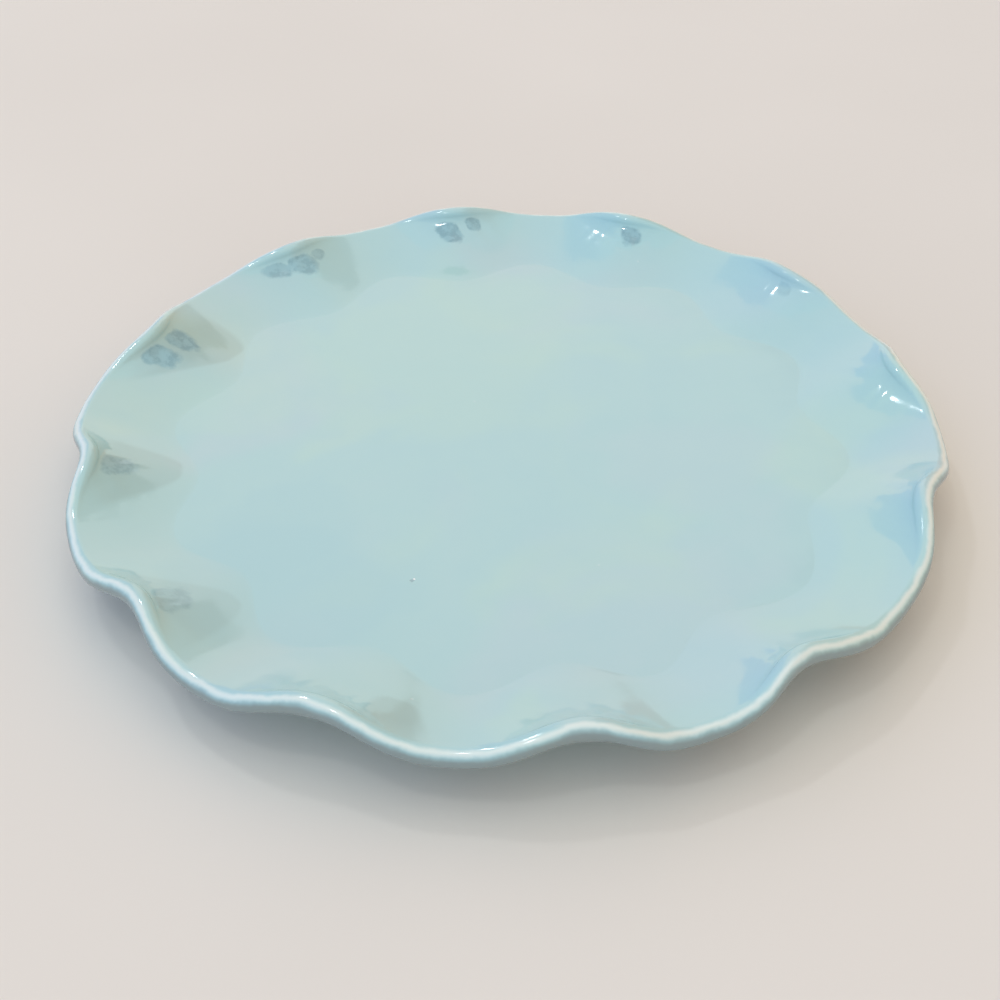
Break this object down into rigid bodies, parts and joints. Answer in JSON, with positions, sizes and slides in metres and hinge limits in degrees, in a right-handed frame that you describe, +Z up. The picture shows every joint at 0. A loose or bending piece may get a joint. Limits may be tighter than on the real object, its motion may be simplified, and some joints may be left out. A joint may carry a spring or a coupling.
{
  "type": "scalloped dessert plate",
  "caption": "Round glazed ceramic dessert plate with a flat well, a low wall pinched into soft scallops, a thick rounded lip and a foot ring.",
  "frame": {"origin": "centre of the plate, on the surface it stands on", "axes": "+Z up out of the well, +X to the right and +Y away from the viewer as the picture shows the plate"},
  "size_m": [0.2057, 0.2022, 0.0201],
  "materials": {
    "fired_clay": "matte fired stoneware",
    "bare_clay": "unglazed, sanded smooth",
    "aqua_glaze": "glossy, faint pearl lustre, whiter where it breaks over the lip"
  },
  "bodies": {
    "root": {"plate_body": "fired_clay", "foot_ring": "bare_clay", "face_glaze": "aqua_glaze", "back_glaze": "aqua_glaze", "recess_glaze": "aqua_glaze"}
  },
  "joints": []
}
